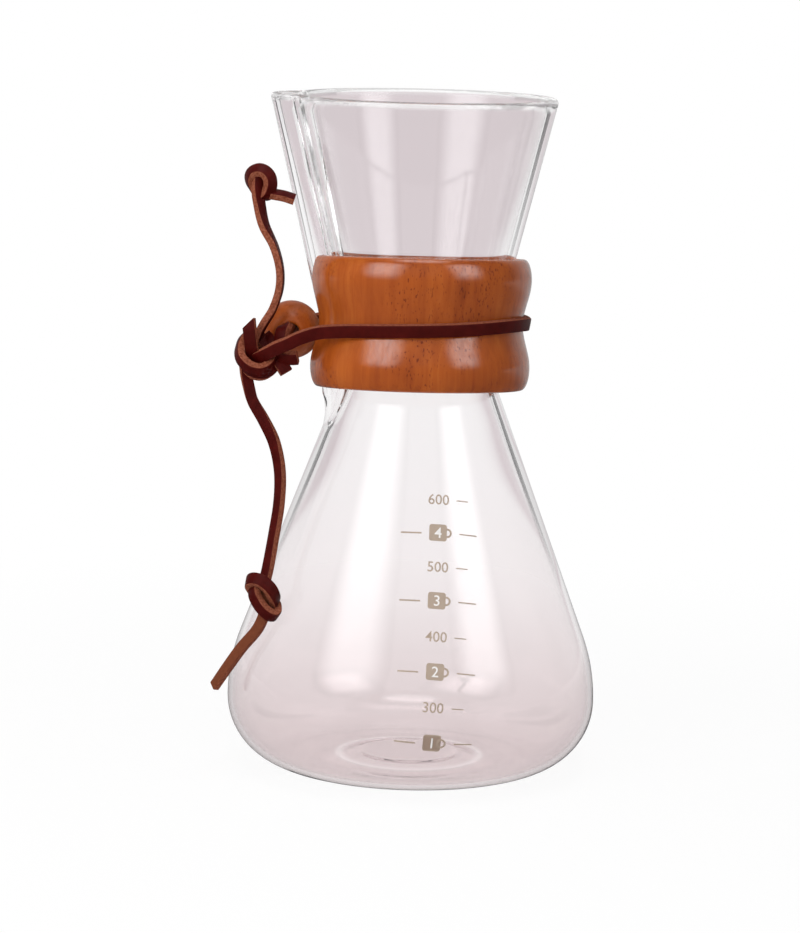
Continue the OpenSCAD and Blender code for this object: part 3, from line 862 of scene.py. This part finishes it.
varnished_wood = varnished("varnished_wood", 1.0, 0.14, 0.75)
waxed_wood = varnished("waxed_wood", 0.4, 0.32, 0.3)
for name, half in halves.items():
    piece = new_piece(name.replace("collar", "wood"), half, varnished_wood)
    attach(piece, name.split("_")[1] + "_collar")
    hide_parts(name)
print("finishes:", varnished_wood.name, waxed_wood.name)

# %% [markdown]
# ## The bead
# A turned ball with a hole from front to back for the lace. Half its outline is drawn beside the hole's
# axis, with the hole's lip rounded, and spun round that axis.

# %% Bead
BEAD_AT = Vector((-41.784, 0, 142.932))
BEAD_R, BORE_R, BORE_LIP = 9.5, 2.9, 0.7
LIP_OUT, LIP_IN, LIP_EASE = 0.35, 0.3, 0.2
mouth = math.degrees(math.asin((BORE_R + BORE_LIP) / BEAD_R))
ball_side = arc((0, 0), BEAD_R, mouth, 180 - mouth, 40)
lip_front = BEAD_R * math.cos(math.radians(mouth)) - BORE_LIP
bore_start, bore_end = (-lip_front + LIP_IN, BORE_R), (lip_front - LIP_IN, BORE_R)
bead_outline = [*ball_side, (-lip_front - LIP_OUT, BORE_R + LIP_EASE), bore_start,
                *straight(bore_start, bore_end, 6), bore_end, (lip_front + LIP_OUT, BORE_R + LIP_EASE)]

bm = bmesh.new()
ring = [bm.verts.new((r * MM, x * MM, 0)) for x, r in bead_outline]
edges = [bm.edges.new((a, b)) for a, b in zip(ring, ring[1:] + ring[:1])]
bmesh.ops.spin(bm, geom=[*ring, *edges], cent=(0, 0, 0), axis=(0, 1, 0), angle=math.tau, steps=72,
               use_merge=True)
bmesh.ops.remove_doubles(bm, verts=bm.verts, dist=1e-6)
bmesh.ops.recalc_face_normals(bm, faces=bm.faces)
bmesh.ops.translate(bm, vec=BEAD_AT * MM, verts=bm.verts)
bead = new_piece("wood_bead", bm, waxed_wood)
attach(bead, "bead")
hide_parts("bead")
print("bead:", len(bead.data.polygons), "faces")

# %% [markdown]
# ## The printed scale
# Plain numbers and small mug signs are printed on the lower cone, a little askew. Text is made a mesh while
# it is flat, then each point is laid on the glass: its sideways place becomes an angle round the axis and
# its upright place a way along the outline.

# %% Print helpers
INK_TURN = math.radians(-4.3)
INK_LIFT, INK_FILM, INK_SPREAD = 0.03, 0.04, 0.03
SLICE, SLICE_SHIFT = 0.6, 0.013
ink = Finish("scale_ink")
specks = ink.noise(ink.place(), 2600, 2, 0.6)
ink_colour = ink.mix(specks, (*tone(160, 142, 126), 1), (*tone(176, 157, 140), 1))
scale_ink = ink.done(Base_Color=ink_colour, Roughness=0.5 + specks * 0.2)
pale = Finish("scale_pale")
pale_specks = pale.noise(pale.place(), 2600, 2, 0.6)
pale_colour = pale.mix(pale_specks, (*tone(226, 222, 220), 1), (*tone(238, 234, 232), 1))
scale_pale = pale.done(Base_Color=pale_colour, Roughness=0.6)

skin_way = [0.0]
for (r0, z0), (r1, z1) in zip(outer_skin, outer_skin[1:]):
    skin_way.append(skin_way[-1] + math.hypot(r1 - r0, z1 - z0))


def skin_spot(way):
    """(r, z, outward r, outward z) at a way along the outer skin."""
    for i in range(len(skin_way) - 1):
        if way <= skin_way[i + 1]:
            share = (way - skin_way[i]) / (skin_way[i + 1] - skin_way[i])
            (r0, z0), (r1, z1) = outer_skin[i], outer_skin[i + 1]
            span = math.hypot(r1 - r0, z1 - z0)
            return r0 + (r1 - r0) * share, z0 + (z1 - z0) * share, (z1 - z0) / span, (r0 - r1) / span
    return *outer_skin[-1], 1.0, 0.0


def way_at(z):
    """The way along the outer skin at height z, from the heel up."""
    return next(w + (z - a[1]) for w, a, b in zip(skin_way, outer_skin, outer_skin[1:]) if a[1] <= z < b[1])


def slice_up(bm):
    """Cut a flat print into narrow upright slices, so that it can bend round the glass."""
    count = int(max(abs(v.co.x) for v in bm.verts) / SLICE)
    for i in range(-count, count + 1):
        bmesh.ops.bisect_plane(bm, geom=[*bm.verts, *bm.edges, *bm.faces],
                               plane_co=(i * SLICE + SLICE_SHIFT, 0, 0), plane_no=(1, 0, 0))
    bmesh.ops.dissolve_degenerate(bm, edges=bm.edges, dist=1e-4)
    bmesh.ops.recalc_face_normals(bm, faces=bm.faces)


def lay_on_glass(bm, x, z, layer=0):
    """Lay a flat print, in millimetres about its own middle, on the outer skin at x and height z.

    A flat transfer on a cone droops to its sides, as a straight cut in a paper cone does.
    """
    slice_up(bm)
    way = way_at(z)
    middle = math.asin(x / skin_spot(way)[0])
    for v in bm.verts:
        u = v.co.x * math.cos(INK_TURN) - v.co.y * math.sin(INK_TURN)
        w = v.co.x * math.sin(INK_TURN) + v.co.y * math.cos(INK_TURN)
        r, _, _, lean = skin_spot(way + w)
        r, height_, out_r, out_z = skin_spot(way + w - u * u * lean / (2 * r))
        turn = middle + u / r
        lift = INK_LIFT * (1 + 2 * layer) + v.co.z
        r, height_ = r + out_r * lift, height_ + out_z * lift
        v.co = Vector((r * math.sin(turn), -r * math.cos(turn), height_)) * MM


def flat_text(words, size):
    """Text as a thin flat mesh in millimetres, centred."""
    curve = bpy.data.curves.new("words", "FONT")
    curve.body, curve.size, curve.extrude, curve.offset = words, size, INK_FILM / 2, INK_SPREAD
    curve.align_x, curve.align_y = "CENTER", "CENTER"
    curve.resolution_u = 4
    holder = bpy.data.objects.new("words", curve)
    scene.collection.objects.link(holder)
    bpy.context.view_layer.update()
    mesh = bpy.data.meshes.new_from_object(holder)
    bm = bmesh.new()
    bm.from_mesh(mesh)
    bpy.data.objects.remove(holder)
    bpy.data.curves.remove(curve)
    bpy.data.meshes.remove(mesh)
    bmesh.ops.remove_doubles(bm, verts=bm.verts, dist=1e-4)
    low = min(v.co.y for v in bm.verts), min(v.co.x for v in bm.verts)
    high = max(v.co.y for v in bm.verts), max(v.co.x for v in bm.verts)
    bmesh.ops.translate(bm, vec=(-(low[1] + high[1]) / 2, -(low[0] + high[0]) / 2, 0), verts=bm.verts)
    return bm


def flat_bar(x0, x1, thick, y=0.0):
    """A thin line of ink from x0 to x1."""
    bm = bmesh.new()
    bmesh.ops.create_cube(bm, size=1)
    bmesh.ops.scale(bm, vec=(x1 - x0, thick, INK_FILM), verts=bm.verts)
    bmesh.ops.translate(bm, vec=((x0 + x1) / 2, y, 0), verts=bm.verts)
    return bm


print("print helpers: skin", round(skin_way[-1], 1), "mm long")

# %% Numbers, lines and mugs
NUMBERS = (("600", 7.5, 94.2), ("500", 7.7, 73.8), ("400", 7.7, 52.9), ("300", 7.3, 31.5))
MUGS = (("4", 7.5, 84.1), ("3", 7.6, 63.7), ("2", 7.6, 42.5), ("1", 7.1, 20.2))
DIGIT_SIZE, MUG_DIGIT_SIZE, MUG_WIDE, MUG_TALL, MUG_ROUND = 4.65, 4.8, 5.7, 5.4, 0.8
HANDLE_R, HANDLE_OUT, HANDLE_HOLE = 1.55, 0.1, 0.58
NUMBER_BAR = (5.9, 9.8, 0.36)
MUG_BARS = ((-11.9, -5.3, 0.5, -0.35), (7.0, 13.0, 0.42))


def flat_mug():
    """A mug seen from the side: a square with round corners, and a ring for its handle."""
    bm = bmesh.new()
    bmesh.ops.create_cube(bm, size=1)
    bmesh.ops.scale(bm, vec=(MUG_WIDE, MUG_TALL, INK_FILM), verts=bm.verts)
    upright = [e for e in bm.edges if abs(e.verts[0].co.z - e.verts[1].co.z) > INK_FILM / 4]
    bmesh.ops.bevel(bm, geom=upright, offset=MUG_ROUND, segments=4, profile=0.5, affect="EDGES", material=-1)
    handle_x = MUG_WIDE / 2 + HANDLE_OUT
    handle = bmesh.ops.create_circle(bm, cap_ends=False, radius=HANDLE_R, segments=20)["verts"]
    bmesh.ops.translate(bm, vec=(handle_x, 0, -INK_FILM / 2), verts=handle)
    loop = [e for e in bm.edges if all(v in handle for v in e.verts)]
    inner = bmesh.ops.extrude_edge_only(bm, edges=loop)["geom"]
    inner_verts = [v for v in inner if isinstance(v, bmesh.types.BMVert)]
    bmesh.ops.scale(bm, vec=(HANDLE_HOLE, HANDLE_HOLE, 1), verts=inner_verts,
                    space=Matrix.Translation((-handle_x, 0, 0)))
    band = [f for f in bm.faces if all(v in handle or v in inner_verts for v in f.verts)]
    bmesh.ops.solidify(bm, geom=band, thickness=INK_FILM)
    bmesh.ops.recalc_face_normals(bm, faces=bm.faces)
    return bm


def add_print(into, flat, x, z, layer=0):
    lay_on_glass(flat, x, z, layer)
    mesh = bpy.data.meshes.new("print")
    flat.to_mesh(mesh)
    flat.free()
    into.from_mesh(mesh)
    bpy.data.meshes.remove(mesh)


dark_print, pale_print = bmesh.new(), bmesh.new()
for words, x, z in NUMBERS:
    add_print(dark_print, flat_text(words, DIGIT_SIZE), x, z)
    add_print(dark_print, flat_bar(*NUMBER_BAR), x, z)
for words, x, z in MUGS:
    add_print(dark_print, flat_mug(), x, z)
    for bar in MUG_BARS:
        add_print(dark_print, flat_bar(*bar), x, z)
    add_print(pale_print, flat_text(words, MUG_DIGIT_SIZE), x, z, 1)
scale_print = new_piece("scale_print", dark_print, scale_ink)
scale_digits = new_piece("scale_mug_digits", pale_print, scale_pale)
for piece in (scale_print, scale_digits):
    for face in piece.data.polygons:
        face.use_smooth = False
    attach(piece, "carafe")
print("scale:", len(scale_print.data.polygons), "faces")

# %% [markdown]
# ## Floor, background and light
# The object stands on a plain white floor in a white studio. Two soft windows of light stand in front, one on
# each side, and a ceiling of light hangs above: the varnish and the glass mirror them. Two dimmer cards only
# fill in light. Three narrow dark cards stand behind, out of the picture. Only light that goes through the
# glass meets them, and they draw its edges as thin dark lines. The floor keeps a faint shadow, and further
# out it turns into the white of the background, or into a pink-grey where it is seen through the glass.

# %% Floor and background
ROOM_LIGHT, MIRRORED, MIRRORED_BEHIND = 0.35, 0.1, 0.6
THROUGH_SKY = 0.75
FAR_PAPER = (0.72, 0.645, 0.668, 1)
paper = Finish("studio_paper")
through = paper.ray("Transmission")
mirrored = paper.ray("Glossy") * (1 - through)
spot = paper.node("ShaderNodeTexCoord", out="Object")
spread = paper.node("ShaderNodeVectorMath", {"operation": "LENGTH"}, {0: spot}, out="Value")
behind = paper.step(paper.node("ShaderNodeSeparateXYZ", {}, {0: spot}, out=1), 0.0, 0.8)
share = (paper.ray("Camera").most(through) * (0.9 + 0.1 * paper.step(spread, 0.1, 0.4))).most(mirrored)
matt = paper.node("ShaderNodeBsdfDiffuse", {}, {"Color": (0.9, 0.9, 0.9, 1)})
near_paper = 1 - mirrored * (1 - MIRRORED - behind * (MIRRORED_BEHIND - MIRRORED))
far_paper = through * paper.step(spread, 0.9, 1.6)
glow = paper.node("ShaderNodeEmission", {}, {"Color": paper.mix(far_paper, near_paper, FAR_PAPER)})
paper_surface = paper.node("ShaderNodeMixShader", {}, {0: share, 1: matt, 2: glow})
paper.node("ShaderNodeOutputMaterial", {}, {"Surface": paper_surface})


def stage_piece(name, bm, finish):
    """An object that isn't part of the coffee maker: the floor or a card."""
    mesh = bpy.data.meshes.new(name)
    bm.to_mesh(mesh)
    bm.free()
    mesh.materials.append(finish)
    piece = bpy.data.objects.new(name, mesh)
    scene.collection.objects.link(piece)
    return piece


FLOOR_R, FLOOR_DROP = 6, 0.0004
bm = bmesh.new()
bmesh.ops.create_circle(bm, cap_ends=True, radius=FLOOR_R, segments=64)
floor = stage_piece("floor", bm, paper.data)
floor.location.z = -FLOOR_DROP

world = bpy.data.worlds.new("studio")
scene.world = world
sky = Finish("studio", world)
through = sky.ray("Transmission")
mirrored = sky.ray("Glossy") * (1 - through)
seen = sky.ray("Camera").most(through * THROUGH_SKY)
sky_way = sky.node("ShaderNodeTexCoord", out="Generated")
behind = sky.step(sky.node("ShaderNodeSeparateXYZ", {}, {0: sky_way}, out=1), 0.3, 0.75)
sky_mirrored = MIRRORED - ROOM_LIGHT + behind * (MIRRORED_BEHIND - MIRRORED)
sky_light = ROOM_LIGHT + seen * (1 - ROOM_LIGHT) + mirrored * sky_mirrored
backdrop = sky.node("ShaderNodeBackground", {}, {"Color": sky_light})
sky.node("ShaderNodeOutputWorld", {}, {"Surface": backdrop})
print("floor and background ready")

# %% Cards of light and dark
LIGHT_AWAY, DARK_AWAY, DARK_TALL = 1.25, 0.36, 0.44
LIGHT_CARDS = (
    # name, azimuth, elevation, wide, tall, strength, lights surfaces, shows in mirrors and glass
    ("left_window", -42, 28, 1.2, 1.2, 4.5, True, True),
    ("right_window", 51, 28, 0.95, 1.2, 4.4, False, True),
    ("ceiling", 0, 80, 1.2, 1.2, 4.4, True, True),
    ("left_fill", -85, 15, 1.0, 1.0, 2.0, True, False),
    ("front_fill", 4, 28, 0.95, 1.2, 2.7, True, False))
DARK_CARDS = (
    # name, azimuth, wide, height that it looks at
    ("left_dark_card", -144, 0.06, 0.23),
    ("right_dark_card", 144, 0.06, 0.23),
    ("channel_dark_card", -124, 0.1, 0.31))


def standing_card(name, azimuth, elevation, distance, wide, tall, finish, aim=0.13):
    """A card that looks at the axis at height aim, azimuth to the right of the camera's side."""
    a, e = math.radians(azimuth), math.radians(elevation)
    back = Vector((math.sin(a) * math.cos(e), -math.cos(a) * math.cos(e), math.sin(e)))
    bm = bmesh.new()
    bmesh.ops.create_grid(bm, x_segments=1, y_segments=1, size=0.5)
    bmesh.ops.scale(bm, vec=(wide, tall, 1), verts=bm.verts)
    card = stage_piece(name, bm, finish)
    facing = back.to_track_quat("Z", "Y").to_matrix().to_4x4()
    card.matrix_world = Matrix.Translation(Vector((0, 0, aim)) + back * distance) @ facing
    card.visible_camera = card.visible_shadow = False
    return card


def window_light(name, wide, tall, strength):
    """A glow that is even in the middle and fades to the card's edges."""
    glow = Finish(name)
    spot = glow.node("ShaderNodeTexCoord", out="Object")
    x = glow.node("ShaderNodeSeparateXYZ", {}, {0: spot}, out=0)
    y = glow.node("ShaderNodeSeparateXYZ", {}, {0: spot}, out=1)
    fade_across = 1 - glow.step(x.size(), wide * 0.12, wide * 0.5)
    fade_up = 1 - glow.step(y.size(), tall * 0.15, tall * 0.5)
    light = glow.node("ShaderNodeEmission", {}, {"Color": fade_across * fade_up, "Strength": strength})
    glow.node("ShaderNodeOutputMaterial", {}, {"Surface": light})
    return glow.data


for name, azimuth, elevation, wide, tall, strength, lights, mirrors in LIGHT_CARDS:
    glow = window_light(name, wide, tall, strength)
    card = standing_card(name, azimuth, elevation, LIGHT_AWAY, wide, tall, glow)
    card.visible_diffuse = lights
    card.visible_glossy = card.visible_transmission = mirrors
dark = Finish("dark_card")
card_up = dark.node("ShaderNodeSeparateXYZ", {}, {0: dark.node("ShaderNodeTexCoord", out="Object")}, out=1)
dark_card = dark.done(Base_Color=(0.03, 0.03, 0.03, 1), Roughness=0.9, Alpha=dark.step(card_up, -0.2, -0.06))
for name, azimuth, wide, aim in DARK_CARDS:
    card = standing_card(name, azimuth, 0, DARK_AWAY, wide, DARK_TALL, dark_card, aim)
    card.visible_diffuse = card.visible_glossy = False
print("studio:", len(LIGHT_CARDS), "light cards and", len(DARK_CARDS), "dark ones")
